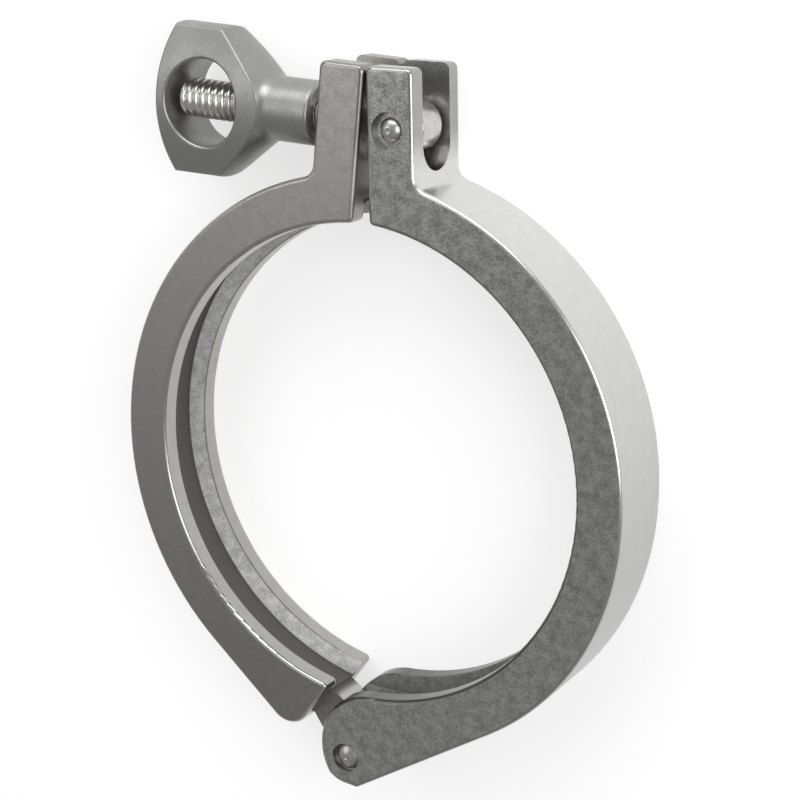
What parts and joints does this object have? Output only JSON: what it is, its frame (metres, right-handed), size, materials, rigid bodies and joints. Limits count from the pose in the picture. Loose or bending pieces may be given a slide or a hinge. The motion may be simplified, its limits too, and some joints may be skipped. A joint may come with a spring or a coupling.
{
  "type": "sanitary hinged clamp",
  "caption": "Hinged ring clamp with a V groove inside, closed by a swing eyebolt and a wing nut, that holds two flanged sanitary ferrules and their gasket together.",
  "frame": {"origin": "Centre of the forked half's groove, on the bore axis, half way through the width.", "axes": "+Z along the bore axis to the front face, +Y towards the lugs and bolt, +X towards the forked half. The clamp lies flat on its back face."},
  "size_m": [0.1317, 0.1786, 0.0208],
  "materials": {
    "right_casting": "satin, fine cast grain on the faces and a polished rim",
    "left_casting": "satin, fine cast grain on the faces and a polished rim",
    "rivets": "polished",
    "bolt": "bright, rolled thread",
    "nut": "satin"
  },
  "bodies": {
    "right_half": {"right_half": "right_casting", "hinge_pin": "rivets", "bolt_pin": "rivets"},
    "left_half": {"left_half": "left_casting"},
    "eyebolt": {"eyebolt": "bolt"},
    "wing_nut": {"wing_nut": "nut"}
  },
  "joints": [
    {"name": "clamp_hinge", "type": "hinge", "parent": "right_half", "child": "left_half", "pos_m": [-0.0011, -0.0738, 0], "axis": [0, 0, 1], "range_deg": [0, 180]},
    {"name": "bolt_swing", "type": "hinge", "parent": "right_half", "child": "eyebolt", "pos_m": [0.00955, 0.0776, 0], "axis": [0, 0, -1], "range_deg": [0, 190]},
    {"name": "nut_travel", "type": "slide", "parent": "eyebolt", "child": "wing_nut", "axis": [-0.9993, 0.0384, 0], "range_m": [0, 0.5]}
  ],
  "couplings": [
    {"joint": "nut_travel", "follows": "clamp_hinge", "m_per_rad": 0.158}
  ]
}
